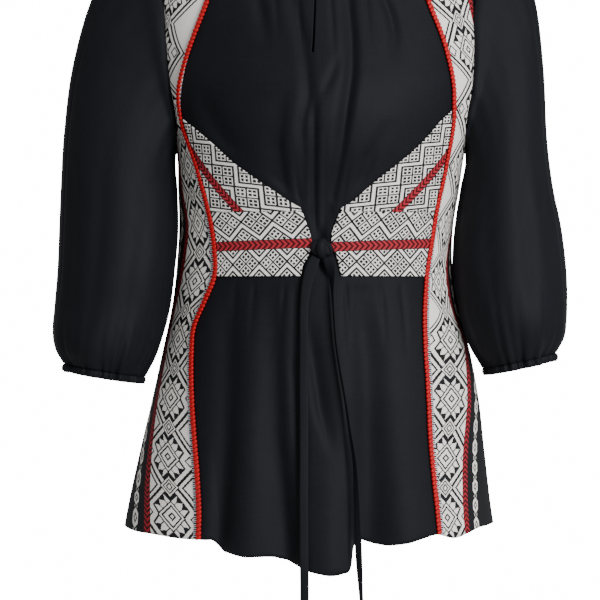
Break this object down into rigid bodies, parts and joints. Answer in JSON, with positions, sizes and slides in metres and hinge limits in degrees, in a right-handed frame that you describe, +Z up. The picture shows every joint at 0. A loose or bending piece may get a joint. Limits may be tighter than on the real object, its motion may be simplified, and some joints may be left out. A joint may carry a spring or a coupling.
{
  "type": "tunic blouse",
  "caption": "Tunic blouse with gathered front, patterned side panels and waist flaps, cord-trimmed seams, knotted ties and gathered sleeves.",
  "frame": {"origin": "midway between the two side-neck points, where the shoulders carry the garment", "axes": "+Z up, the front faces -Y, +X towards the right as seen from the front"},
  "size_m": [0.5556, 0.2754, 0.8218],
  "materials": {
    "black_cloth": "soft plain weave, slight sheen",
    "woven_cloth": "black and white figured weave",
    "red_cord": "ribbed red cord"
  },
  "bodies": {
    "root": {"front_centre": "black_cloth", "back": "black_cloth", "side_panel_left": "woven_cloth", "side_panel_right": "woven_cloth", "bust_flap_left": "woven_cloth", "bust_flap_right": "woven_cloth", "waist_band_left": "woven_cloth", "waist_band_right": "woven_cloth", "cord_trim_left": "red_cord", "cord_trim_right": "red_cord", "sleeve_front_left": "black_cloth", "sleeve_back_left": "black_cloth", "sleeve_front_right": "black_cloth", "sleeve_back_right": "black_cloth", "cuff_left": "black_cloth", "cuff_right": "black_cloth", "neckband": "black_cloth", "tie_knot": "black_cloth", "tie_tail_left": "black_cloth", "tie_tail_right": "black_cloth"}
  },
  "joints": []
}
